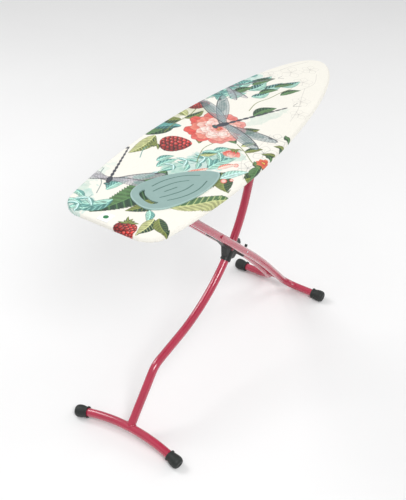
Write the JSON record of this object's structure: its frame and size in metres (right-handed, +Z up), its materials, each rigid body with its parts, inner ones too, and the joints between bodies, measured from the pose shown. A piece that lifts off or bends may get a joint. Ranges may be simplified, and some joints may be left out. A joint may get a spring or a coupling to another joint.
{
  "type": "ironing board",
  "caption": "Free-standing folding ironing board with a tapered padded top, a silicone iron rest and crossed tubular legs that fold flat on a sliding pivot.",
  "frame": {"origin": "centre of the bounding box on the floor, under the board", "axes": "+X along the board towards its nose, +Y across towards the far side, +Z up"},
  "size_m": [1.35, 0.4782, 0.985],
  "materials": {
    "cotton_cover": "printed cotton",
    "foam": "soft foam",
    "board_steel": "grey powder coat",
    "silicone": "matte silicone",
    "label": "woven tape",
    "zinc": "zinc plated",
    "black_rubber": "moulded",
    "black_plastic": "moulded",
    "red_lacquer": "gloss lacquer"
  },
  "bodies": {
    "board": {"cover": "cotton_cover", "foam_pad": "foam", "top_mesh": "board_steel", "rim_frame": "board_steel", "iron_rest_pad": "silicone", "label": "label", "cross_member_heel": "board_steel", "cross_member_middle": "board_steel", "cross_member_slide": "board_steel", "cross_member_nose": "board_steel", "rail_near": "zinc", "rail_far": "zinc", "rail_stops": "black_rubber", "pivot_bracket_near": "zinc", "pivot_bracket_far": "zinc", "leg_b_axle": "zinc", "release_hanger_heel": "zinc", "release_hanger_nose": "zinc", "return_spring": "zinc"},
    "leg_b": {"leg_b_tube_near": "red_lacquer", "leg_b_tube_far": "red_lacquer", "foot_b_bridge": "red_lacquer", "foot_b_cap_near": "black_rubber", "foot_b_cap_far": "black_rubber", "leg_b_bush_near": "black_plastic", "leg_b_bush_far": "black_plastic", "pivot_bolt": "red_lacquer", "pivot_nut": "zinc", "leg_b_rivets": "zinc"},
    "leg_a": {"leg_a_tube": "red_lacquer", "foot_a_bar": "red_lacquer", "foot_a_cap_near": "black_rubber", "foot_a_cap_far": "black_rubber", "crossing_bracket": "black_plastic", "fold_catch": "black_plastic", "pivot_washers": "zinc", "leg_a_top_tube": "red_lacquer"},
    "carriage": {"slide_axle": "zinc", "slide_shoe_near": "black_plastic", "slide_shoe_far": "black_plastic"},
    "release_lever": {"release_bar": "zinc", "lever_grip": "black_plastic"}
  },
  "joints": [
    {"name": "leg_b_fold", "type": "hinge", "parent": "board", "child": "leg_b", "pos_m": [-0.445, 0, 0.94], "axis": [0, -1, 0], "range_deg": [0, 40.34]},
    {"name": "leg_a_swing", "type": "hinge", "parent": "leg_b", "child": "leg_a", "pos_m": [-0.095, 0, 0.59797], "axis": [0, 1, 0], "range_deg": [0, 80.68]},
    {"name": "carriage_slide_turn", "type": "hinge", "parent": "leg_a", "child": "carriage", "pos_m": [0.255, 0, 0.94], "axis": [0, -1, 0], "range_deg": [0, 40.34]},
    {"name": "release_lever_lift", "type": "hinge", "parent": "board", "child": "release_lever", "pos_m": [0.3, 0.046, 0.929], "axis": [1, 0, 0], "range_deg": [0, 12], "stiffness_Nm_per_rad": 0.5, "springref_deg": -17.19}
  ],
  "couplings": [
    {"joint": "leg_a_swing", "follows": "leg_b_fold", "ratio": 2},
    {"joint": "carriage_slide_turn", "follows": "leg_b_fold", "ratio": 1}
  ]
}
